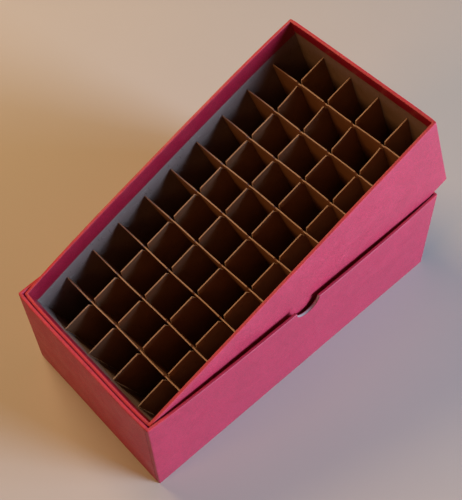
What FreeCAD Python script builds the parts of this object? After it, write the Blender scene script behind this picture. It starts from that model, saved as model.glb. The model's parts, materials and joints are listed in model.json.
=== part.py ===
import FreeCAD, Part

import math
import os

# Coin roll box: a base tray with a grid of fifty square cells, propped in its own upturned lid.
# Both shells are folded grey board, held by paper stays at the corners and wrapped in red paper.
# Millimetres. The origin is the middle of the lid's panel, on the table. X runs along the box
# towards its raised end, Y across it and Z up.

# Cells
cell_pitch = 25.0            # from one divider to the next, both ways
columns = 10                 # cells along the box
rows = 5                     # cells across the box
end_column_length = 23.7     # from the outermost cross divider to the tray's end wall
front_row_width = 22.3       # from the outermost long divider to the tray's front wall
rear_row_width = 25.6        # and to its rear wall

# Sheet materials
board_thickness = 1.5        # grey board of the lid and the tray
wrap_thickness = 0.3         # red paper with its glue
stay_thickness = 0.1         # gummed paper tape over the board's corners
divider_thickness = 0.9      # brown chipboard

# Shells
lid_height = 82.0
tray_height = 83.5
tray_clearance = 0.4         # on each side, between the tray and the lid's turned-in paper
long_turn_in = 14.0          # depth of the red band inside the rims of the long walls
end_turn_in = 11.0           # and inside those of the end walls
corner_radius = 0.9          # upright corners, outside
panel_edge_radius = 0.7      # edges round the panel, outside
stay_leg = 14.0              # width of a stay on each side of its corner
stay_end_gap = 2.5           # from a stay's ends to the shell's rim and panel
notch_radius = 10.0          # half-moon thumb notch in the lid's long walls
notch_offset = 1.6           # from the middle of the wall to the middle of the notch

# Divider strips
divider_height = 59.6
divider_end_gap = 1.75       # from a strip's end to the bare wall
divider_floor_gap = 0.2      # under a strip
slot_clearance = 0.12        # on each side of a strip in the other's slot
lap_clearance = 0.4          # between the ends of two slots that meet
mouth_flare = 2.0            # a slot widens by this on each side towards its mouth
mouth_depth = 7.0            # and over this depth
dip_width = 2.4              # shallow dip in the far edge, behind each slot
dip_slope = 1.0
dip_depth = 1.5

# How the tray rests in the lid
seat_gap = 0.2               # kept between the tray and the edges that it leans on

wall_thickness = board_thickness + wrap_thickness
rim_thickness = board_thickness + 2 * wrap_thickness

bare_length = (columns - 2) * cell_pitch + 2 * end_column_length
bare_width = (rows - 2) * cell_pitch + front_row_width + rear_row_width
tray_length = bare_length + 2 * wall_thickness
tray_width = bare_width + 2 * wall_thickness
lid_length = tray_length + 2 * tray_clearance + 2 * rim_thickness
lid_width = tray_width + 2 * tray_clearance + 2 * rim_thickness


def block(length, width, low, high):
    """A box centred on the Z axis, from one height to another."""
    corner = FreeCAD.Vector(-length / 2, -width / 2, low)
    return Part.makeBox(length, width, high - low, corner)


def rounded_block(length, width, low, high, upright_radius, foot_radius):
    """A centred block with round upright corners and a round edge at its foot."""
    solid = block(length, width, low, high)
    uprights = [edge for edge in solid.Edges if edge.BoundBox.ZLength > (high - low) / 2]
    solid = solid.makeFillet(upright_radius, uprights)
    feet = [edge for edge in solid.Edges if edge.BoundBox.ZMax < low + 1e-6]
    return solid.makeFillet(foot_radius, feet)


def board_outside(length, width, height, grow=0.0):
    """The outside of a shell's board, or of a layer that lies on it."""
    inset = wrap_thickness - grow
    return rounded_block(
        length - 2 * inset,
        width - 2 * inset,
        inset,
        height - wrap_thickness,
        corner_radius - inset,
        panel_edge_radius - inset,
    )


def shell_board(length, width, height):
    """One folded blank: a panel below and four walls, open at the top."""
    hollow = block(length - 2 * wall_thickness, width - 2 * wall_thickness, wall_thickness, height)
    return board_outside(length, width, height).cut(hollow)


def shell_wrap(length, width, height):
    """The paper: over the outside, across the rim and turned in as a band inside it."""
    inside_length = length - 2 * wall_thickness
    inside_width = width - 2 * wall_thickness
    outside = rounded_block(length, width, 0.0, height, corner_radius, panel_edge_radius)
    within = block(inside_length, inside_width, wall_thickness, height)
    skin = outside.cut(board_outside(length, width, height)).cut(within)
    long_band = block(inside_length, inside_width, height - long_turn_in, height).cut(
        block(inside_length, width - 2 * rim_thickness, height - long_turn_in, height)
    )
    end_band = block(inside_length, inside_width, height - end_turn_in, height).cut(
        block(length - 2 * rim_thickness, inside_width, height - end_turn_in, height)
    )
    return skin.fuse([long_band, end_band]).removeSplitter()


def shell_stays(length, width, height):
    """Four tapes, one folded round each upright corner of the board, by corner name."""
    low = panel_edge_radius + stay_end_gap
    high = height - wrap_thickness - stay_end_gap
    layer = board_outside(length, width, height, stay_thickness).cut(
        board_outside(length, width, height)
    )
    stays = {}
    for end, x_side in (("left", -1), ("right", 1)):
        for side, y_side in (("front", -1), ("rear", 1)):
            corner = block(2 * stay_leg, 2 * stay_leg, low, high)
            corner.translate(FreeCAD.Vector(x_side * length / 2, y_side * width / 2, 0))
            stays[end + "_" + side] = layer.common(corner)
    return stays


def shell(name, length, width, height):
    """All pieces of one shell, standing on the table with its mouth up."""
    board = shell_board(length, width, height)
    wrap = shell_wrap(length, width, height)
    pieces = {}
    for corner, stay in shell_stays(length, width, height).items():
        wrap = wrap.cut(stay)
        pieces[name + "_stay_" + corner] = stay
    pieces[name + "_board"] = board
    pieces[name + "_wrap"] = wrap
    return pieces


def thumb_notches():
    """One cutter for the half-moon notch in each long wall of the lid."""
    start = FreeCAD.Vector(notch_offset, -lid_width / 2 - 1, lid_height)
    return Part.makeCylinder(notch_radius, lid_width + 2, start, FreeCAD.Vector(0, 1, 0))


def make_lid():
    """The lid, with its thumb notches cut through board and paper alike."""
    pieces = shell("lid", lid_length, lid_width, lid_height)
    cutter = thumb_notches()
    for name in ("lid_board", "lid_wrap"):
        pieces[name] = pieces[name].cut(cutter)
    return pieces


def make_tray():
    """The base tray, level, with its mouth up."""
    return shell("tray", tray_length, tray_width, tray_height)


def slotted_outline(length, crossings):
    """A strip's outline (along, up): flared slots in its lower edge, shallow dips in the upper."""
    half_slot = divider_thickness / 2 + slot_clearance
    slot_top = (divider_height + lap_clearance) / 2
    points = [(-length / 2, 0.0)]
    for place in crossings:
        points += [
            (place - half_slot - mouth_flare, 0.0),
            (place - half_slot, mouth_depth),
            (place - half_slot, slot_top),
            (place + half_slot, slot_top),
            (place + half_slot, mouth_depth),
            (place + half_slot + mouth_flare, 0.0),
        ]
    points += [(length / 2, 0.0), (length / 2, divider_height)]
    for place in reversed(crossings):
        points += [
            (place + dip_width / 2 + dip_slope, divider_height),
            (place + dip_width / 2, divider_height - dip_depth),
            (place - dip_width / 2, divider_height - dip_depth),
            (place - dip_width / 2 - dip_slope, divider_height),
        ]
    points += [(-length / 2, divider_height)]
    return points


def cross_places():
    """Where the cross dividers stand along the level tray, from its near end."""
    first = -bare_length / 2 + end_column_length
    return [first + number * cell_pitch for number in range(columns - 1)]


def long_places():
    """Where the long dividers stand across the level tray, from its front."""
    first = -bare_width / 2 + front_row_width
    return [first + number * cell_pitch for number in range(rows - 1)]


def extruded(corners, thickness_direction):
    """A plate on a closed outline."""
    outline = Part.makePolygon(corners + corners[:1])
    return Part.Face(outline).extrude(thickness_direction)


def make_cross_divider(x):
    """A strip across the tray, slotted from below, in the level tray."""
    foot = wall_thickness + divider_floor_gap
    outline = slotted_outline(bare_width - 2 * divider_end_gap, long_places())
    corners = [FreeCAD.Vector(x - divider_thickness / 2, y, foot + up) for y, up in outline]
    return extruded(corners, FreeCAD.Vector(divider_thickness, 0, 0))


def make_long_divider(y):
    """A strip along the tray: the same outline turned over, so that its slots open upwards."""
    head = wall_thickness + divider_floor_gap + divider_height
    outline = slotted_outline(bare_length - 2 * divider_end_gap, cross_places())
    corners = [FreeCAD.Vector(x, y - divider_thickness / 2, head - up) for x, up in outline]
    return extruded(corners, FreeCAD.Vector(0, divider_thickness, 0))


def make_dividers():
    """Nine cross strips from the raised end, and four long strips from the rear."""
    pieces = {}
    for number, x in enumerate(reversed(cross_places()), start=1):
        pieces["cross_divider_" + str(number)] = make_cross_divider(x)
    for number, y in enumerate(reversed(long_places()), start=1):
        pieces["long_divider_" + str(number)] = make_long_divider(y)
    return pieces


def tray_tilt():
    """The slope at which the tray stands on the lid's panel and leans on both end rims, in degrees.

    One lower edge of the tray is on the panel, its end wall leans on the near rim, and its
    underside lies on the far rim. With the rims depth above the panel and span apart, the slope
    solves depth * slope ** 2 - span * slope + depth = 0.
    """
    depth = lid_height - wall_thickness
    span = lid_length - 2 * rim_thickness
    slope = (span - math.sqrt(span**2 - 4 * depth**2)) / (2 * depth)
    return math.degrees(math.atan(slope))


def tray_placement():
    """From the level tray, centred on the origin, to the tray as it rests in the lid."""
    depth = lid_height - wall_thickness
    tilt = math.radians(tray_tilt())
    near_rim = -lid_length / 2 + rim_thickness
    low_edge = FreeCAD.Vector(near_rim + depth * math.tan(tilt), 0, wall_thickness)
    turn = FreeCAD.Rotation(FreeCAD.Vector(0, 1, 0), -tray_tilt())
    clear_of_edges = turn.multVec(FreeCAD.Vector(seat_gap, 0, seat_gap))
    from_low_edge = turn.multVec(FreeCAD.Vector(tray_length / 2, 0, 0))
    return FreeCAD.Placement(low_edge + clear_of_edges + from_low_edge, turn)


def make_box():
    """Every piece where it is in use, by node name."""
    pieces = make_lid()
    propped = {}
    propped.update(make_tray())
    propped.update(make_dividers())
    for name, piece in propped.items():
        piece.Placement = tray_placement()
        pieces[name] = piece
    return pieces


os.makedirs("parts", exist_ok=True)
for name, piece in make_box().items():
    piece.exportStep("parts/" + name + ".step")
    print(name, "volume", round(piece.Volume, 1), "solids", len(piece.Solids))
print("lid", lid_length, lid_width, lid_height, "tray", tray_length, tray_width, tray_height)
print("tilt", round(tray_tilt(), 3))
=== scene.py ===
import json
import math

import bpy
from mathutils import Matrix, Vector, noise


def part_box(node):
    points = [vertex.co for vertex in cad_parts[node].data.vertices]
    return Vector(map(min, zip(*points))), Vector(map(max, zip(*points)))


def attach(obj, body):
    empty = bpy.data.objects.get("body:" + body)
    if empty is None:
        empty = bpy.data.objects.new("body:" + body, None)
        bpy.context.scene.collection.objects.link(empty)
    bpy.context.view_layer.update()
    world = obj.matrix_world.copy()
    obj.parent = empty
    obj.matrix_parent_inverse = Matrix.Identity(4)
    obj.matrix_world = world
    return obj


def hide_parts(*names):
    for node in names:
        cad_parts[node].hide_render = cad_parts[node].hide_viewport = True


# Coin roll box: a base tray with a grid of fifty square cells, propped in its own upturned lid.
# Metres. X runs along the box towards its raised end, Y across it to the rear and Z up.
# Both shells are modelled level, with the middle of their panel at the origin, and are then bowed
# and placed. The tray is tilted last, with its grid.

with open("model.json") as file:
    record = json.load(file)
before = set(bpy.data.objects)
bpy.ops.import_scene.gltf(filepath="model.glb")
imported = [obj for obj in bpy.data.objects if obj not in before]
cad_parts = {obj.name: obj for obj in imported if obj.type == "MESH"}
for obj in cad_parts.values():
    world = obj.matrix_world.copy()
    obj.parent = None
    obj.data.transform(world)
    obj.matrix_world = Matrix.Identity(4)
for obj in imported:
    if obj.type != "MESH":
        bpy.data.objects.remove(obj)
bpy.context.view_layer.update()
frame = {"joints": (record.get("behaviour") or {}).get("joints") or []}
bpy.ops.object.select_all(action="DESELECT")

mm = 0.001
hair = 0.02 * mm                 # what lies closer than this is at the same place
noise_seed = 7                   # the same small unevenness each time the box is made
noise.seed_set(noise_seed)

# Sizes taken from the frame
lid_low, lid_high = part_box("lid_wrap")
lid_length, lid_width, lid_height = lid_high - lid_low
grid_lift = next(joint for joint in frame["joints"] if joint["name"] == "divider_grid_lift")
tray_up = Vector(grid_lift["axis"])
tilt = math.atan2(-tray_up.x, tray_up.z)

# Sheet materials
board_thickness = 1.5 * mm
wrap_thickness = 0.3 * mm
divider_thickness = 0.9 * mm
wall_thickness = board_thickness + wrap_thickness
rim_thickness = board_thickness + 2 * wrap_thickness

# Shells
tray_clearance = 0.4 * mm
tray_height = 83.5 * mm
tray_length = lid_length - 2 * (rim_thickness + tray_clearance)
tray_width = lid_width - 2 * (rim_thickness + tray_clearance)
bare_length = tray_length - 2 * wall_thickness
bare_width = tray_width - 2 * wall_thickness
long_turn_in = 14.0 * mm
end_turn_in = 11.0 * mm
bevel_radius = 2.35 * mm         # upright corners start wider than the rim is thick,
corner_radius = 0.9 * mm         # and are then drawn out to this
panel_edge_radius = 0.7 * mm
rim_fold_radius = 0.45 * mm      # the paper is folded tightly over the board's edge
glue_gap = 0.1 * mm              # room for the stays between the board and the paper
end_flap_margin = 3.0 * mm       # the end flap of the paper stops this short of the corner
end_flap_step = 0.16 * mm        # and lies this proud of the paper turned round the corner
stay_leg = 14.0 * mm
stay_end_gap = 2.5 * mm
notch_radius = 10.0 * mm
notch_offset = 1.6 * mm
lid_belly = 2.7 * mm             # the lid's long walls have bowed out by this at their rims
lid_end_belly = 1.1 * mm         # and its near end wall by this
tray_belly = 2.4 * mm            # the tray's rear wall by this
tray_end_belly = 1.05 * mm       # its near end wall by this
tray_far_belly = 0.35 * mm       # and its far one by this
end_bow_power = 6                # how flat an end wall's bow is between its corners,
long_bow_power = 3               # and a long wall's,
long_bow_rise = 1.3              # and how late a long wall's bow sets in on its way up
waver = 0.12 * mm                # the paper and board stray by up to this
waver_scale = 28                 # bends of the waver in a metre

# Divider grid
cell_pitch = 25.0 * mm
columns = 10
rows = 5
end_column_length = 23.7 * mm
front_row_width = 22.3 * mm
divider_height = 59.6 * mm
divider_foot = wall_thickness + 0.2 * mm
strip_end_gap = 0.35 * mm        # from a strip's end to the wall that it leans on
slot_clearance = 0.12 * mm       # on each side of a strip in the other's slot
lap_clearance = 0.4 * mm         # between the ends of two slots that meet
mouth_flare = 2.0 * mm           # a slot widens by this on each side towards its mouth
mouth_depth = 7.0 * mm           # and over this depth
dip_width = 2.4 * mm             # shallow dip in the far edge, behind each slot
dip_slope = 1.0 * mm
dip_depth = 1.5 * mm
cut_softness = 0.13 * mm         # bevel of a strip's cut edges
rub_along = 0.12 * mm            # the cut edges stray by up to this along the strip,
rub_through = 0.05 * mm          # by this through it
rub_up = 0.16 * mm               # and by this upwards
rub_scale = 240                  # bends of that in a metre


# Placing the tray

def tray_matrix():
    """From the level tray, centred on the origin, to the tray as it leans in the lid."""
    low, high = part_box("tray_wrap")
    foot_x = low.x + tray_height * math.sin(tilt)
    foot_z = high.z - tray_length * math.sin(tilt) - tray_height * math.cos(tilt)
    turn = Matrix.Rotation(-tilt, 4, "Y")
    return Matrix.Translation((foot_x, 0, foot_z)) @ turn @ Matrix.Translation((tray_length / 2, 0, 0))


tray_place = tray_matrix()
lid_place = Matrix.Identity(4)


# Modelling helpers

def add_block(name, size, middle):
    """A block at its size and place, alone selected, with its place in its mesh."""
    bpy.ops.object.select_all(action="DESELECT")
    bpy.ops.mesh.primitive_cube_add(size=1, location=middle)
    piece = bpy.context.object
    piece.name = name
    piece.scale = size
    bpy.ops.object.transform_apply(location=True, rotation=True, scale=True)
    return piece


def pick(piece, kind, wanted):
    """In edit mode, selects the faces, edges or corners that wanted() accepts, and nothing else."""
    bpy.ops.object.mode_set(mode="EDIT")
    bpy.ops.mesh.select_mode(type=kind)
    bpy.ops.mesh.select_all(action="DESELECT")
    bpy.ops.object.mode_set(mode="OBJECT")
    mesh = piece.data
    if kind == "FACE":
        for face in mesh.polygons:
            face.select = wanted(face.center, face.normal)
    elif kind == "EDGE":
        for edge in mesh.edges:
            first, second = (mesh.vertices[number].co for number in edge.vertices)
            edge.select = wanted(first, second)
    else:
        for corner in mesh.vertices:
            corner.select = wanted(corner.co)
    bpy.ops.object.mode_set(mode="EDIT")


def leave_edit():
    """Back to object mode, so that the mesh holds what was done."""
    bpy.ops.object.mode_set(mode="OBJECT")


def near(value, target):
    """Whether two lengths are the same to within a hair."""
    return abs(value - target) < hair


def cut_across(axis, places):
    """Cuts every face of the active piece along planes square to one axis."""
    normal = [0, 0, 0]
    normal[axis] = 1
    bpy.ops.object.mode_set(mode="EDIT")
    for place in places:
        bpy.ops.mesh.select_all(action="SELECT")
        bpy.ops.mesh.bisect(plane_co=[place * part for part in normal], plane_no=normal)
    leave_edit()


def even_places(low, high, step):
    """Places between two ends, about a step apart, without the ends."""
    count = max(1, round((high - low) / step))
    return [low + (high - low) * number / count for number in range(1, count)]


def finish_modifier(piece, kind, **settings):
    """Adds one modifier and applies it."""
    bpy.context.view_layer.objects.active = piece
    modifier = piece.modifiers.new(kind.title(), kind)
    for name, value in settings.items():
        setattr(modifier, name, value)
    bpy.ops.object.modifier_apply(modifier=modifier.name)


def move_corners(piece, moved):
    """Moves every corner of the mesh to moved(corner)."""
    for corner in piece.data.vertices:
        corner.co = moved(corner.co)
    piece.data.update()


def smooth(piece, degrees):
    """Shades faces that meet at less than an angle as one smooth surface."""
    bpy.ops.object.select_all(action="DESELECT")
    piece.select_set(True)
    bpy.context.view_layer.objects.active = piece
    bpy.ops.object.shade_smooth_by_angle(angle=math.radians(degrees))


def paint(piece, *materials):
    """Gives a piece its materials, the first one everywhere."""
    piece.data.materials.clear()
    for material in materials:
        piece.data.materials.append(material)


# Material helpers

def add_node(tree, kind, values=None, **settings):
    """A node with its properties, and its unlinked inputs by name or number."""
    node = tree.nodes.new(kind)
    for name, value in settings.items():
        setattr(node, name, value)
    for name, value in (values or {}).items():
        node.inputs[name].default_value = value
    return node


def new_group(name, inputs, outputs):
    """An empty shader group with named inputs, each (kind, default), and outputs."""
    group = bpy.data.node_groups.new(name, "ShaderNodeTree")
    for label, (kind, default) in inputs.items():
        socket = group.interface.new_socket(label, in_out="INPUT", socket_type="NodeSocket" + kind)
        if default is not None:
            socket.default_value = default
    for label, kind in outputs.items():
        group.interface.new_socket(label, in_out="OUTPUT", socket_type="NodeSocket" + kind)
    return group, group.nodes.new("NodeGroupInput"), group.nodes.new("NodeGroupOutput")


def use_group(tree, group, **values):
    """A group placed in a material with its own values."""
    node = tree.nodes.new("ShaderNodeGroup")
    node.node_tree = group
    for name, value in values.items():
        node.inputs[name.replace("_", " ")].default_value = value
    return node


def math_node(tree, operation, first, second=None, clamp=False):
    """A math node on two values or sockets, and its output."""
    node = tree.nodes.new("ShaderNodeMath")
    node.operation = operation
    node.use_clamp = clamp
    for number, value in enumerate((first, second)):
        if isinstance(value, bpy.types.NodeSocket):
            tree.links.new(value, node.inputs[number])
        elif value is not None:
            node.inputs[number].default_value = value
    return node.outputs[0]


def ramp(tree, value, low, high, start=0.0, end=1.0):
    """A value taken from one range to another, with soft ends."""
    node = add_node(tree, "ShaderNodeMapRange", interpolation_type="SMOOTHSTEP")
    tree.links.new(value, node.inputs["Value"])
    for name, number in (("From Min", low), ("From Max", high), ("To Min", start), ("To Max", end)):
        node.inputs[name].default_value = number
    return node.outputs["Result"]


def blend_colours(tree, share, first, second, mode="MIX"):
    """A mix of two colours, each a socket or a colour."""
    node = add_node(tree, "ShaderNodeMix", data_type="RGBA", blend_type=mode)
    if isinstance(share, bpy.types.NodeSocket):
        tree.links.new(share, node.inputs["Factor"])
    else:
        node.inputs["Factor"].default_value = share
    for name, colour in (("A", first), ("B", second)):
        socket = next(slot for slot in node.inputs if slot.name == name and slot.type == "RGBA")
        if isinstance(colour, bpy.types.NodeSocket):
            tree.links.new(colour, socket)
        else:
            socket.default_value = (*colour, 1)
    return next(slot for slot in node.outputs if slot.type == "RGBA")


def noise_value(tree, vector, scale):
    """Soft noise from 0 to 1, with this many bends in a metre."""
    node = add_node(tree, "ShaderNodeTexNoise", {"Scale": scale, "Detail": 3.0, "Roughness": 0.55})
    tree.links.new(vector, node.inputs["Vector"])
    return node.outputs["Fac"]


def stretch(tree, vector, factors):
    """A vector scaled by its own factor along each axis."""
    node = add_node(tree, "ShaderNodeVectorMath", operation="MULTIPLY")
    tree.links.new(vector, node.inputs[0])
    node.inputs[1].default_value = factors
    return node.outputs[0]


def level_vector(tree, place):
    """Object coordinates, turned back to where the piece is level."""
    turn = place.to_euler()
    coordinates = tree.nodes.new("ShaderNodeTexCoord")
    mapping = add_node(tree, "ShaderNodeMapping", vector_type="TEXTURE")
    mapping.inputs["Location"].default_value = place.to_translation()
    mapping.inputs["Rotation"].default_value = turn
    tree.links.new(coordinates.outputs["Object"], mapping.inputs["Vector"])
    return mapping.outputs["Vector"]


# Effects that several materials share

def make_mottle_group():
    """Slow, cloudy change of tone over a surface."""
    group, inside, out = new_group(
        "cloudy_tone",
        {"Vector": ("Vector", None), "Cloud Size": ("Float", 30 * mm), "Contrast": ("Float", 0.3)},
        {"Tone": "Float"},
    )
    scale = math_node(group, "DIVIDE", 1.0, inside.outputs["Cloud Size"])
    clouds = add_node(group, "ShaderNodeTexNoise", {"Detail": 4.0, "Roughness": 0.6})
    group.links.new(inside.outputs["Vector"], clouds.inputs["Vector"])
    group.links.new(scale, clouds.inputs["Scale"])
    centred = math_node(group, "SUBTRACT", clouds.outputs["Fac"], 0.5)
    swing = math_node(group, "MULTIPLY", centred, inside.outputs["Contrast"])
    tone = math_node(group, "ADD", swing, 1.0)
    group.links.new(tone, out.inputs["Tone"])
    return group


def make_grain_group():
    """Pebbled grain of embossed leather paper: small rounded cells with pressed lines between."""
    group, inside, out = new_group(
        "pebbled_grain",
        {"Vector": ("Vector", None), "Grain Size": ("Float", 0.9 * mm)},
        {"Height": "Float", "Valleys": "Float"},
    )
    scale = math_node(group, "DIVIDE", 1.0, inside.outputs["Grain Size"])
    wander = add_node(group, "ShaderNodeTexNoise", {"Scale": 900.0, "Detail": 2.0})
    group.links.new(inside.outputs["Vector"], wander.inputs["Vector"])
    pushed = add_node(group, "ShaderNodeVectorMath", operation="MULTIPLY_ADD")
    group.links.new(wander.outputs["Color"], pushed.inputs[0])
    pushed.inputs[1].default_value = [0.5 * mm] * 3
    group.links.new(inside.outputs["Vector"], pushed.inputs[2])
    cells = add_node(group, "ShaderNodeTexVoronoi", feature="DISTANCE_TO_EDGE")
    group.links.new(pushed.outputs[0], cells.inputs["Vector"])
    group.links.new(scale, cells.inputs["Scale"])
    pebbles = ramp(group, cells.outputs["Distance"], 0.0, 0.22)
    fine = add_node(group, "ShaderNodeTexNoise", {"Scale": 3200.0, "Detail": 3.0})
    group.links.new(inside.outputs["Vector"], fine.inputs["Vector"])
    small = math_node(group, "MULTIPLY", fine.outputs["Fac"], 0.35)
    height = math_node(group, "ADD", pebbles, small)
    valleys = math_node(group, "SUBTRACT", 1.0, pebbles)
    group.links.new(height, out.inputs["Height"])
    group.links.new(valleys, out.inputs["Valleys"])
    return group


def make_fibre_group():
    """Short dark and pale fibres pressed into grey board, chipboard and kraft tape."""
    group, inside, out = new_group(
        "pressed_fibres",
        {"Vector": ("Vector", None), "Fibre Width": ("Float", 0.35 * mm)},
        {"Dark": "Float", "Pale": "Float", "Height": "Float"},
    )
    scale = math_node(group, "DIVIDE", 0.25, inside.outputs["Fibre Width"])
    bent = add_node(group, "ShaderNodeTexNoise", {"Scale": 140.0, "Detail": 2.0})
    group.links.new(inside.outputs["Vector"], bent.inputs["Vector"])
    wandered = add_node(group, "ShaderNodeVectorMath", operation="MULTIPLY_ADD")
    group.links.new(bent.outputs["Color"], wandered.inputs[0])
    wandered.inputs[1].default_value = [6 * mm] * 3
    group.links.new(inside.outputs["Vector"], wandered.inputs[2])
    outputs = {}
    for label, stretched, threshold in (
        ("Dark", (1.0, 1.0, 0.28), 0.63),
        ("Pale", (0.3, 1.0, 1.0), 0.62),
    ):
        long_way = stretch(group, wandered.outputs[0], stretched)
        strands = add_node(group, "ShaderNodeTexNoise", {"Detail": 2.0, "Roughness": 0.5})
        group.links.new(long_way, strands.inputs["Vector"])
        group.links.new(scale, strands.inputs["Scale"])
        outputs[label] = ramp(group, strands.outputs["Fac"], threshold, threshold + 0.1)
        group.links.new(outputs[label], out.inputs[label])
    felt = add_node(group, "ShaderNodeTexNoise", {"Scale": 2200.0, "Detail": 4.0, "Roughness": 0.7})
    group.links.new(inside.outputs["Vector"], felt.inputs["Vector"])
    raised = math_node(group, "MULTIPLY", outputs["Pale"], 0.4)
    height = math_node(group, "ADD", felt.outputs["Fac"], raised)
    group.links.new(height, out.inputs["Height"])
    return group


def make_fold_group():
    """How near a point of a shell is to its rim and to the edges of its panel."""
    group, inside, out = new_group(
        "near_folds",
        {
            "Vector": ("Vector", None),
            "Half Length": ("Float", 0.1),
            "Half Width": ("Float", 0.1),
            "Height": ("Float", 0.1),
            "Reach": ("Float", 3 * mm),
        },
        {"Fold": "Float"},
    )
    axes = group.nodes.new("ShaderNodeSeparateXYZ")
    group.links.new(inside.outputs["Vector"], axes.inputs[0])

    def closeness(axis, extent):
        """One within reach of the plane, and zero away from it."""
        off_plane = math_node(group, "ABSOLUTE", math_node(group, "SUBTRACT", extent, axis))
        share = math_node(group, "DIVIDE", off_plane, inside.outputs["Reach"])
        return math_node(group, "SUBTRACT", 1.0, share, clamp=True)

    off_middle_x = math_node(group, "ABSOLUTE", axes.outputs["X"])
    off_middle_y = math_node(group, "ABSOLUTE", axes.outputs["Y"])
    along = closeness(off_middle_x, inside.outputs["Half Length"])
    across = closeness(off_middle_y, inside.outputs["Half Width"])
    rim = closeness(axes.outputs["Z"], inside.outputs["Height"])
    panel = closeness(axes.outputs["Z"], 0.0)
    wall = math_node(group, "MAXIMUM", along, across)
    level = math_node(group, "MAXIMUM", rim, panel)
    fold = math_node(group, "MULTIPLY", wall, level)
    group.links.new(fold, out.inputs["Fold"])
    return group


cloudy_tone = make_mottle_group()
pebbled_grain = make_grain_group()
pressed_fibres = make_fibre_group()
near_folds = make_fold_group()


# Materials

def new_material(name, roughness, specular=0.5):
    """A material with its shader, and its tree."""
    material = bpy.data.materials.new(name)
    material.use_nodes = True
    tree = material.node_tree
    shader = tree.nodes["Principled BSDF"]
    shader.inputs["Roughness"].default_value = roughness
    shader.inputs["Specular IOR Level"].default_value = specular
    return material, tree, shader


def bumped(tree, shader, height, distance, strength):
    """Raises the shader's surface by a height."""
    bump = add_node(tree, "ShaderNodeBump", {"Strength": strength, "Distance": distance})
    tree.links.new(height, bump.inputs["Height"])
    tree.links.new(bump.outputs["Normal"], shader.inputs["Normal"])


# Painted shade: the strip of each end face beside its corner is darkened towards this red.
corner_shade_red = (0.22, 0.004, 0.03)
# Part wear and part painted highlight: the rim and foot folds are paled towards this brighter red.
worn_and_lit_fold_red = (0.62, 0.03, 0.045)


def red_paper(name, place, size, red, roughness):
    """Red leather-grained paper, brighter red in patches at its folds (part wear, part painted
    highlight), with painted shade on the strip of each end face beside its corner.
    """
    length, width, height = size
    material, tree, shader = new_material(name, roughness, 0.8)
    vector = level_vector(tree, place)
    tone = use_group(tree, cloudy_tone, Cloud_Size=26 * mm, Contrast=0.3)
    speckle = use_group(tree, cloudy_tone, Cloud_Size=1.3 * mm, Contrast=0.8)
    grain = use_group(tree, pebbled_grain, Grain_Size=0.85 * mm)
    folds = use_group(
        tree, near_folds, Half_Length=length / 2, Half_Width=width / 2, Height=height, Reach=1.6 * mm
    )
    for node in (tone, speckle, grain, folds):
        tree.links.new(vector, node.inputs["Vector"])
    pressed = tuple(0.65 * part for part in red)
    grained = blend_colours(tree, grain.outputs["Valleys"], red, pressed)
    toned = shaded(tree, grained, tone.outputs["Tone"])
    speckled = shaded(tree, toned, speckle.outputs["Tone"])
    # Painted shade: darkens the strip beside each corner.
    corner_shade = math_node(tree, "MULTIPLY", corner_shade_share(tree, vector, length, width), 0.3)
    corner_shaded = blend_colours(tree, corner_shade, speckled, corner_shade_red)
    # Part wear and part painted highlight: brighter red in patches along the folds.
    fold_patches = ramp(tree, noise_value(tree, vector, 220.0), 0.35, 0.6, 0.35, 1.0)
    worn_and_lit_folds = math_node(tree, "MULTIPLY", folds.outputs["Fold"], fold_patches)
    colour = blend_colours(tree, math_node(tree, "MULTIPLY", worn_and_lit_folds, 0.75), corner_shaded, worn_and_lit_fold_red)
    tree.links.new(colour, shader.inputs["Base Color"])
    rough = ramp(tree, noise_value(tree, vector, 90.0), 0.3, 0.7, roughness - 0.06, roughness + 0.06)
    rubbed = math_node(tree, "MULTIPLY", folds.outputs["Fold"], 0.3)
    tree.links.new(math_node(tree, "ADD", rough, rubbed, clamp=True), shader.inputs["Roughness"])
    bumped(tree, shader, grain.outputs["Height"], 0.05 * mm, 0.5)
    return material


def corner_shade_share(tree, vector, length, width):
    """One on the strip of the end faces between the end flap and the upright corner, where shade is
    painted.
    """
    axes = tree.nodes.new("ShaderNodeSeparateXYZ")
    tree.links.new(vector, axes.inputs[0])
    off_middle_x = math_node(tree, "ABSOLUTE", axes.outputs["X"])
    off_middle_y = math_node(tree, "ABSOLUTE", axes.outputs["Y"])
    from_end = math_node(tree, "SUBTRACT", length / 2, off_middle_x)
    from_side = math_node(tree, "SUBTRACT", width / 2, off_middle_y)
    on_end = ramp(tree, from_end, 0.6 * mm, 1.6 * mm, 1.0, 0.0)
    flap_start, flap_end = end_flap_margin - 0.4 * mm, end_flap_margin + 0.3 * mm
    beside_flap = ramp(tree, from_side, flap_start, flap_end, 1.0, 0.0)
    off_corner = ramp(tree, from_side, 0.3 * mm, 1.0 * mm)
    on_strip = math_node(tree, "MULTIPLY", on_end, beside_flap)
    return math_node(tree, "MULTIPLY", on_strip, off_corner)


def shaded(tree, colour, tone):
    """A colour multiplied by a tone."""
    grey = tree.nodes.new("ShaderNodeCombineColor")
    for channel in ("Red", "Green", "Blue"):
        tree.links.new(tone, grey.inputs[channel])
    return blend_colours(tree, 1.0, colour, grey.outputs["Color"], "MULTIPLY")


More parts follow.
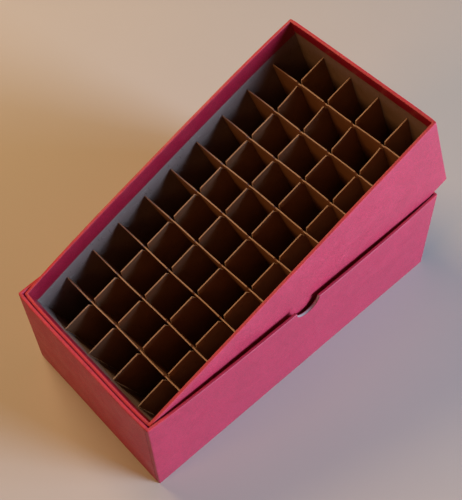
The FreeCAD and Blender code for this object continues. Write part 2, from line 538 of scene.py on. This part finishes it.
def fibre_board(name, place, base, dark, pale, fibre_width, specular=0.4, clouds=0.3, bump=0.5):
    """A matt board or coarse paper with dark and pale fibres."""
    material, tree, shader = new_material(name, 0.7, specular)
    vector = level_vector(tree, place)
    tone = use_group(tree, cloudy_tone, Cloud_Size=18 * mm, Contrast=clouds)
    fibres = use_group(tree, pressed_fibres, Fibre_Width=fibre_width)
    for node in (tone, fibres):
        tree.links.new(vector, node.inputs["Vector"])
    toned = shaded(tree, base, tone.outputs["Tone"])
    dark_share = math_node(tree, "MULTIPLY", fibres.outputs["Dark"], 0.6)
    pale_share = math_node(tree, "MULTIPLY", fibres.outputs["Pale"], 0.5)
    darkened = blend_colours(tree, dark_share, toned, dark)
    colour = blend_colours(tree, pale_share, darkened, pale)
    tree.links.new(colour, shader.inputs["Base Color"])
    bumped(tree, shader, fibres.outputs["Height"], 0.08 * mm, bump)
    return material


# The mean colour of each board, and of its dark and pale fibres
grey_tones = {"base": (0.27, 0.21, 0.205), "dark": (0.14, 0.105, 0.10), "pale": (0.38, 0.33, 0.32)}
cut_tones = {"base": (0.46, 0.45, 0.46), "dark": (0.24, 0.23, 0.23), "pale": (0.66, 0.65, 0.64)}
core_tones = {"base": (0.55, 0.10, 0.15), "dark": (0.42, 0.03, 0.07), "pale": (0.7, 0.35, 0.36)}
strip_tones = {"base": (0.25, 0.125, 0.064), "dark": (0.13, 0.062, 0.028), "pale": (0.37, 0.215, 0.12)}
strip_edge_tones = {"base": (0.39, 0.285, 0.24), "dark": (0.22, 0.145, 0.11), "pale": (0.54, 0.42, 0.36)}
tape_tones = {"base": (0.42, 0.3, 0.17), "dark": (0.26, 0.17, 0.09), "pale": (0.55, 0.42, 0.27)}

lid_size = (lid_length, lid_width, lid_height)
tray_size = (tray_length, tray_width, tray_height)
lid_tone = (0.51, 0.021, 0.080)
# The tray's paper is the lid's, painted a little lighter for the extra light that falls on the tray.
lit_tray_tone = (0.55, 0.028, 0.088)
# Painted shade: the tray's turned-in band is a darker copy of its paper, for the shade inside the tray.
shaded_turned_in_tone = (0.40, 0.012, 0.048)
outside_rough = 0.56
inside_rough = 0.36              # the turned-in paper has hardly been handled
lid_red = red_paper("red_leather_paper_lid", lid_place, lid_size, lid_tone, outside_rough)
lid_turned_in = red_paper("red_leather_paper_lid_inside", lid_place, lid_size, lid_tone, inside_rough)
tray_red = red_paper("red_leather_paper_tray", tray_place, tray_size, lit_tray_tone, outside_rough)
tray_turned_in = red_paper(
    "red_leather_paper_tray_inside", tray_place, tray_size, shaded_turned_in_tone, inside_rough
)
lid_grey = fibre_board("grey_board_lid", lid_place, fibre_width=0.4 * mm, **grey_tones)
tray_grey = fibre_board("grey_board_tray", tray_place, fibre_width=0.4 * mm, **grey_tones)
board_cut = fibre_board("grey_board_cut", lid_place, fibre_width=0.2 * mm, **cut_tones)
paper_core = fibre_board("paper_cut_edge", lid_place, fibre_width=0.15 * mm, **core_tones)
chipboard = fibre_board(
    "brown_chipboard", tray_place, fibre_width=0.45 * mm, specular=0.9, clouds=0.45, **strip_tones
)
chipboard_edge = fibre_board(
    "brown_chipboard_cut", tray_place, fibre_width=0.2 * mm, clouds=0.5, bump=0.8, **strip_edge_tones
)
kraft_tape = fibre_board("kraft_stay_tape", lid_place, fibre_width=0.3 * mm, **tape_tones)


# Shells

def end_belly(y, z, width, height):
    """The share of its bow by which an end wall stands out: most at the rim, none at a corner."""
    across = max(0.0, 1 - abs(2 * y / width) ** end_bow_power)
    return across * math.sin(math.pi / 2 * max(0.0, min(1.0, z / height)))


def bowed(point, size, bows):
    """A point of a level shell after its front, rear, near and far walls have bowed by their bows."""
    length, width, height = size
    front, rear, near_end, far_end = bows
    along = max(0.0, 1 - abs(2 * point.x / length) ** long_bow_power)
    rise = max(0.0, min(1.0, point.z / height)) ** long_bow_rise
    bow = (front if point.y < 0 else rear) * along * rise
    x = point.x
    if x < -length / 2 + 2 * rim_thickness:
        x -= near_end * end_belly(point.y, point.z, width, height)
    elif x > length / 2 - 2 * rim_thickness:
        x += far_end * end_belly(point.y, point.z, width, height)
    return Vector((x, point.y + math.copysign(bow, point.y), point.z))


def wavered(point, seed):
    """A point of a hand-covered shell, slightly off its place."""
    return point + noise.noise_vector(point * waver_scale + Vector((seed, 0, 0))) * waver


def drawn_out(point, size):
    """A point of a shell after its wide corners are drawn out to sharper ones, the inside kept."""
    length, width, _ = size
    diagonal = Vector((1, 1))
    out = Vector((abs(point.x) - length / 2, abs(point.y) - width / 2)) + diagonal * bevel_radius
    inside_radius = bevel_radius - rim_thickness
    if min(out) < -hair / 2 or out.length < inside_radius:
        return point
    share = (out.length - inside_radius) / rim_thickness
    shift = (diagonal - out.normalized()) * (bevel_radius - corner_radius) * share
    return point + Vector((math.copysign(shift.x, point.x), math.copysign(shift.y, point.y), 0))


def dress(piece, size, bows, seed, place):
    """Gives a shell's piece its sharp corners, bowed walls, slight waver and final place."""
    move_corners(piece, lambda point: wavered(bowed(drawn_out(point, size), size, bows), seed))
    piece.data.transform(place)
    piece.data.update()


def cut_shell(size):
    """Cuts that let the walls of the active shell bend, and end its turned-in bands."""
    length, width, height = size
    along, across = length / 2 - 4 * mm, width / 2 - 4 * mm
    cut_across(0, even_places(-along, along, 7 * mm))
    cut_across(1, even_places(-across, across, 9 * mm))
    cut_across(2, even_places(3 * mm, height - long_turn_in, 7 * mm))
    cut_across(2, (height - long_turn_in + 0.05 * mm, height - end_turn_in, height - 6 * mm))


def hollowed_block(name, length, width, low, high, wall, depth, radius, foot_radius):
    """A block with rounded corners and foot, sunk from above inside its wall."""
    piece = add_block(name, (length, width, high - low), (0, 0, (low + high) / 2))

    def upright(first, second):
        return near(first.x, second.x) and near(first.y, second.y)

    pick(piece, "EDGE", upright)
    bpy.ops.mesh.bevel(offset=radius, segments=5, affect="EDGES")
    pick(piece, "EDGE", lambda first, second: near(first.z, low) and near(second.z, low))
    bpy.ops.mesh.bevel(offset=foot_radius, segments=4, affect="EDGES")
    pick(piece, "FACE", lambda middle, normal: normal.z > 0.9 and near(middle.z, high))
    bpy.ops.mesh.inset(thickness=wall, use_even_offset=True)
    bpy.ops.mesh.extrude_region_move(TRANSFORM_OT_translate={"value": (0, 0, -depth)})
    return piece


def within_rim(point, size):
    """Whether a point of a shell is inside its rim, seen from above."""
    length, width, _ = size
    return (
        abs(point.x) < length / 2 - rim_thickness + hair
        and abs(point.y) < width / 2 - rim_thickness + hair
    )


def make_wrap(name, size):
    """Paper over the outside, across the rim and turned in as a band, with its end flaps on top."""
    length, width, height = size
    piece = hollowed_block(
        name, length, width, 0, height, rim_thickness, long_turn_in, bevel_radius, panel_edge_radius
    )
    bpy.ops.mesh.delete(type="FACE")

    for inner in (False, True):
        def on_fold(first, second):
            on_rim = near(first.z, height) and near(second.z, height)
            return on_rim and within_rim(first, size) == within_rim(second, size) == inner

        pick(piece, "EDGE", on_fold)
        bpy.ops.mesh.bevel(offset=rim_fold_radius, segments=4, affect="EDGES")
    leave_edit()
    cut_shell(size)

    def below_end_band(middle, normal):
        inside = abs(middle.x) < length / 2 - rim_thickness / 2 and abs(normal.x) > 0.7
        return inside and height - long_turn_in < middle.z < height - end_turn_in

    pick(piece, "FACE", below_end_band)
    bpy.ops.mesh.delete(type="FACE")
    leave_edit()
    flap_edge = width / 2 - end_flap_margin
    cut_across(1, (-flap_edge, flap_edge))

    def on_end_flap(middle, _):
        on_end = abs(middle.x) > length / 2 - 2 * rim_thickness
        return on_end and abs(middle.y) < flap_edge and middle.z > 2 * mm

    pick(piece, "FACE", on_end_flap)
    bpy.ops.mesh.extrude_region_shrink_fatten(
        TRANSFORM_OT_shrink_fatten={"value": end_flap_step, "use_even_offset": True}
    )
    leave_edit()
    return piece


def make_board(name, size):
    """The folded grey board under the paper, bare inside below the turned-in band."""
    length, width, height = size
    piece = hollowed_block(
        name,
        length - 2 * wrap_thickness,
        width - 2 * wrap_thickness,
        wrap_thickness,
        height - wrap_thickness,
        board_thickness,
        height - wrap_thickness - wall_thickness,
        bevel_radius - wrap_thickness,
        panel_edge_radius - wrap_thickness,
    )
    leave_edit()
    cut_shell(size)
    return piece


def make_stay(name, size, x_side, y_side):
    """A paper tape folded round one upright corner of the board."""
    length, width, height = size
    corner_x = x_side * (length / 2 - wrap_thickness)
    corner_y = y_side * (width / 2 - wrap_thickness)
    low = panel_edge_radius + stay_end_gap
    high = height - wrap_thickness - stay_end_gap
    middle = (corner_x - x_side * stay_leg / 2, corner_y - y_side * stay_leg / 2, (low + high) / 2)
    piece = add_block(name, (stay_leg, stay_leg, high - low), middle)

    def not_outside(_, normal):
        return normal.x * x_side < 0.5 and normal.y * y_side < 0.5

    pick(piece, "FACE", not_outside)
    bpy.ops.mesh.delete(type="FACE")

    def at_corner(first, second):
        return all(near(point.x, corner_x) and near(point.y, corner_y) for point in (first, second))

    pick(piece, "EDGE", at_corner)
    bpy.ops.mesh.bevel(offset=bevel_radius - wrap_thickness, segments=5, affect="EDGES")
    leave_edit()
    cut_across(2, even_places(low, high, 8 * mm))
    cut_across(0, even_places(corner_x - stay_leg, corner_x + stay_leg, 4 * mm))
    finish_modifier(piece, "SOLIDIFY", thickness=glue_gap * 0.9, offset=1.0, use_even_offset=True)
    return piece


def cut_notches(piece, cut_material):
    """Half-moon thumb notches through both long walls of the lid."""
    bpy.ops.object.select_all(action="DESELECT")
    bpy.ops.mesh.primitive_cylinder_add(
        vertices=96, radius=notch_radius, depth=lid_width * 1.2,
        location=(notch_offset, 0, lid_height), rotation=(math.radians(90), 0, 0),
    )
    cutter = bpy.context.object
    paint(cutter, cut_material)
    bpy.ops.object.transform_apply(location=True, rotation=True, scale=True)
    finish_modifier(
        piece, "BOOLEAN", object=cutter, operation="DIFFERENCE", solver="EXACT", material_mode="TRANSFER"
    )
    bpy.data.objects.remove(cutter)


def settle(piece, body, node, size, bows, seed, place):
    """Bows and places one piece of a shell, and lets it ride on its body for its node."""
    dress(piece, size, bows, seed, place)
    smooth(piece, 35)
    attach(piece, body)
    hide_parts(node)


def paint_turned_in(wrap, size):
    """The paper that is turned in as a band gets the wrap's third material."""
    height = size[2]
    for face in wrap.data.polygons:
        if within_rim(face.center, size) and face.center.z > height - long_turn_in:
            face.material_index = 2


def make_shell(body, size, place, bows, seed, reds, grey, notched):
    """Board, stays and paper of one shell, in place of their plain pieces."""
    wrap = make_wrap(body + "_paper", size)
    outside_red, turned_in_red = reds
    paint(wrap, outside_red, paper_core, turned_in_red)
    paint_turned_in(wrap, size)
    finish_modifier(wrap, "SOLIDIFY", thickness=wrap_thickness - glue_gap, offset=-1.0,
                    use_even_offset=True, material_offset_rim=1)
    board = make_board(body + "_grey_board", size)
    paint(board, grey)
    if notched:
        cut_notches(wrap, paper_core)
        cut_notches(board, board_cut)
    settle(wrap, body, body + "_wrap", size, bows, seed, place)
    settle(board, body, body + "_board", size, bows, seed, place)
    for end, x_side in (("left", -1), ("right", 1)):
        for side, y_side in (("front", -1), ("rear", 1)):
            corner = "%s_%s" % (end, side)
            stay = make_stay(body + "_corner_tape_" + corner, size, x_side, y_side)
            paint(stay, kraft_tape)
            settle(stay, body, body + "_stay_" + corner, size, bows, seed, place)


# The bows of the front, rear, near and far walls
lid_bows = (lid_belly, lid_belly, lid_end_belly, 0.0)
tray_bows = (0.0, tray_belly, tray_end_belly, tray_far_belly)
lid_reds = (lid_red, lid_turned_in)
tray_reds = (tray_red, tray_turned_in)
make_shell("lid", lid_size, lid_place, lid_bows, 3.0, lid_reds, lid_grey, notched=True)
make_shell("tray", tray_size, tray_place, tray_bows, 11.0, tray_reds, tray_grey, notched=False)


# Divider grid

def cross_places():
    """Where the cross strips stand along the level tray."""
    first = -bare_length / 2 + end_column_length
    return [first + number * cell_pitch for number in range(columns - 1)]


def long_places():
    """Where the long strips stand across the level tray."""
    first = -bare_width / 2 + front_row_width
    return [first + number * cell_pitch for number in range(rows - 1)]


def grid_drift(point):
    """How far the grid has drifted from its straight plan, the same for both sets of strips.

    Sway is along the box and slip across it: slow waves, in millimetres, over cells counted from the
    middle. Past the third cell towards the raised end the long strips swing to the rear. Each drift
    fades out at the walls that it would push into.
    """
    x, y = point.x / cell_pitch, point.y / cell_pitch
    sway = 0.3 + 0.35 * math.sin(0.9 * x + 0.6) - 0.12 * y + 0.2 * math.sin(2.1 * y + 1.3 * x)
    slip = -0.35 + 0.2 * math.sin(1.1 * x + 0.7 * y) + 1.5 * max(0.0, (x - 3.0)) ** 2
    from_end = (bare_length / 2 - abs(point.x)) / (12 * mm)
    from_side = (bare_width / 2 - abs(point.y)) / (10 * mm)
    along = sway * mm * max(0.0, min(1.0, from_end))
    across = min(slip, 1.3) * mm * max(0.0, min(1.0, from_side))
    return Vector((along, across, 0))


def strip_blank(name, low_end, high_end):
    """A sheet standing along X, from its foot to its head."""
    bpy.ops.object.select_all(action="DESELECT")
    middle = ((low_end + high_end) / 2, 0, divider_height / 2)
    bpy.ops.mesh.primitive_plane_add(size=1, location=middle, rotation=(math.radians(90), 0, 0))
    piece = bpy.context.object
    piece.name = name
    piece.scale = (high_end - low_end, divider_height, 1)
    bpy.ops.object.transform_apply(location=True, rotation=True, scale=True)
    return piece


def cut_slots(piece, crossings):
    """Flared slots in the foot of a strip, with a shallow dip in its head above each."""
    half_slot = divider_thickness / 2 + slot_clearance
    slot_top = (divider_height + lap_clearance) / 2
    mouth = half_slot + mouth_flare
    dip = dip_width / 2
    for place in crossings:
        for side in (-1, 1):
            cut_across(0, [place + side * reach for reach in (half_slot, mouth, dip, dip + dip_slope)])
    cut_across(2, (mouth_depth, slot_top, divider_height - 2 * dip_depth))

    def in_slot(middle, _):
        return middle.z < slot_top and any(abs(middle.x - place) < half_slot for place in crossings)

    pick(piece, "FACE", in_slot)
    bpy.ops.mesh.delete(type="FACE")

    def in_mouth(middle, _):
        beside = any(half_slot < abs(middle.x - place) < mouth for place in crossings)
        return middle.z < mouth_depth and beside

    pick(piece, "FACE", in_mouth)
    bpy.ops.mesh.delete(type="FACE")
    leave_edit()


def slope_mouths(piece, crossings):
    """Fills the outer half of each cleared mouth, so that its side slopes from slot to foot."""
    half_slot = divider_thickness / 2 + slot_clearance
    mouth = half_slot + mouth_flare
    for place in crossings:
        for side in (-1, 1):
            def on_slope(point):
                """The corners of the gap's upper edge, and the outer one at the foot."""
                out = side * (point.x - place)
                on_top = near(point.z, mouth_depth) and half_slot - hair < out < mouth + hair
                return on_top or near(out, mouth) and near(point.z, 0)

            pick(piece, "VERT", on_slope)
            bpy.ops.mesh.edge_face_add()
    leave_edit()


def dipped(point, crossings):
    """A point of a strip's head, lowered where another strip passes."""
    if not near(point.z, divider_height):
        return point
    for place in crossings:
        out = abs(point.x - place) - dip_width / 2
        if out < dip_slope - hair / 2:
            return point - Vector((0, 0, dip_depth * (1 - max(0.0, out) / dip_slope)))
    return point


def make_strip(name, low_end, high_end, crossings, seed):
    """One strip of the grid along X, slots down, with cut edges of their own material."""
    piece = strip_blank(name, low_end, high_end)
    cut_across(0, even_places(low_end, high_end, cell_pitch / 3))
    cut_slots(piece, crossings)
    slope_mouths(piece, crossings)
    move_corners(piece, lambda point: dipped(point, crossings))
    paint(piece, chipboard, chipboard_edge)
    finish_modifier(piece, "SOLIDIFY", thickness=divider_thickness, offset=0.0, material_offset_rim=1)
    finish_modifier(piece, "BEVEL", width=cut_softness, segments=2, limit_method="ANGLE",
                    angle_limit=math.radians(50))

    def rubbed(point):
        """Cut edges are a little uneven."""
        shift = noise.noise_vector(point * rub_scale + Vector((seed, 0, 0)))
        return point + Vector((shift.x * rub_along, shift.y * rub_through, shift.z * rub_up))

    move_corners(piece, rubbed)
    return piece


def to_walls(point):
    """A point of the level grid, whose strips reach out to the bowed walls where they end."""
    x, y, z = point
    if x < -bare_length / 2 + 2 * mm:
        x -= tray_end_belly * end_belly(y, z, tray_width, tray_height)
    elif x > bare_length / 2 - 2 * mm:
        x += tray_far_belly * end_belly(y, z, tray_width, tray_height)
    if y > bare_width / 2 - 4 * mm:
        y = bowed(point, tray_size, tray_bows).y
    return Vector((x, y, z))


def place_strip(piece, turn, body, node):
    """Turns a strip to its place in the grid, drifts it with the grid and sets it in the tray."""
    piece.data.transform(turn)
    move_corners(piece, lambda point: to_walls(point + grid_drift(point)))
    piece.data.transform(tray_place)
    piece.data.update()
    smooth(piece, 40)
    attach(piece, body)
    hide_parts(node)


for number, x in enumerate(reversed(cross_places()), start=1):
    reach = bare_width / 2 - strip_end_gap
    strip = make_strip("cross_strip_%d" % number, -reach, reach, long_places(), number)
    turn = Matrix.Translation((x, 0, divider_foot)) @ Matrix.Rotation(math.radians(90), 4, "Z")
    place_strip(strip, turn, "cross_divider_%d" % number, "cross_divider_%d" % number)

for number, y in enumerate(reversed(long_places()), start=1):
    reach = bare_length / 2 - strip_end_gap
    strip = make_strip("long_strip_%d" % number, -reach, reach, cross_places(), 20 + number)
    turn = Matrix.Translation((0, y, divider_foot + divider_height)) @ Matrix.Rotation(math.pi, 4, "X")
    place_strip(strip, turn, "long_dividers", "long_divider_%d" % number)


# Floor, lights and camera

floor_size = 6.0
floor_tone = (0.52, 0.51, 0.50)
window_light = (0.72, 0.89, 1.1)
lamp_light = (1.28, 0.82, 0.4)
glow_light = (1.4, 0.6, 0.17)


def make_floor():
    """A wide pale floor under the box."""
    bpy.ops.object.select_all(action="DESELECT")
    bpy.ops.mesh.primitive_plane_add(size=floor_size)
    floor = bpy.context.object
    floor.name = "floor"
    material, tree, shader = new_material("pale_floor", 0.9, 0.2)
    vector = level_vector(tree, lid_place)
    tone = use_group(tree, cloudy_tone, Cloud_Size=0.12, Contrast=0.05)
    tree.links.new(vector, tone.inputs["Vector"])
    tree.links.new(shaded(tree, floor_tone, tone.outputs["Tone"]), shader.inputs["Base Color"])
    paint(floor, material)


def add_lamp(name, place, size, power, colour):
    """A soft square lamp that faces the middle of the box."""
    light = bpy.data.lights.new(name, "AREA")
    light.shape = "SQUARE"
    light.size = size
    light.energy = power
    light.color = colour
    lamp = bpy.data.objects.new(name, light)
    bpy.context.scene.collection.objects.link(lamp)
    lamp.location = place
    aim = Vector((0, 0, lid_height)) - Vector(place)
    lamp.rotation_euler = aim.to_track_quat("-Z", "Y").to_euler()


def around(azimuth, elevation, distance):
    """A place seen from the box at an azimuth and elevation in degrees."""
    turn, rise = math.radians(azimuth), math.radians(elevation)
    level = distance * math.cos(rise)
    return (level * math.cos(turn), level * math.sin(turn), lid_height + distance * math.sin(rise))


def make_world():
    """A faint even light from all round."""
    world = bpy.data.worlds.new("studio")
    world.use_nodes = True
    background = world.node_tree.nodes["Background"]
    background.inputs["Color"].default_value = (0.95, 0.97, 1.0, 1)
    background.inputs["Strength"].default_value = 0.008
    bpy.context.scene.world = world


def make_camera():
    """The photograph's view: where the camera looks from, how far off, and how it is rolled.

    The focal length and the picture's height are in the picture's own pixels.
    """
    azimuth = math.radians(-130.18)
    elevation = math.radians(55.41)
    roll = math.radians(-2.54)
    distance = 618.8 * mm
    target = Vector((-13.1, -12.3, 98.9)) * mm
    focal_length = 971.3
    picture_height = 500
    level = math.cos(elevation)
    back = Vector((math.cos(azimuth) * level, math.sin(azimuth) * level, math.sin(elevation)))
    level_right = Vector((0, 0, 1)).cross(back).normalized()
    level_up = back.cross(level_right)
    right = level_right * math.cos(roll) + level_up * math.sin(roll)
    up = level_up * math.cos(roll) - level_right * math.sin(roll)
    camera_data = bpy.data.cameras.new("camera")
    camera_data.sensor_width = 36.0
    camera_data.lens = camera_data.sensor_width * focal_length / picture_height
    camera_data.clip_start = 0.01
    camera = bpy.data.objects.new("camera", camera_data)
    bpy.context.scene.collection.objects.link(camera)
    turn = Matrix((right, up, back)).transposed().to_4x4()
    camera.matrix_world = Matrix.Translation(target + back * distance) @ turn
    bpy.context.scene.camera = camera


make_floor()
add_lamp("window_low", around(-64, 12, 2.4), size=0.85, power=64.0, colour=window_light)
add_lamp("window_high", around(-56, 24, 2.2), size=0.9, power=22.0, colour=window_light)
add_lamp("lamp_rear", around(97, 48, 1.05), size=0.5, power=6.4, colour=lamp_light)
add_lamp("lamp_left", around(178, 36, 1.7), size=0.6, power=5.6, colour=glow_light)
make_world()
make_camera()
bpy.context.scene.view_settings.view_transform = "Standard"
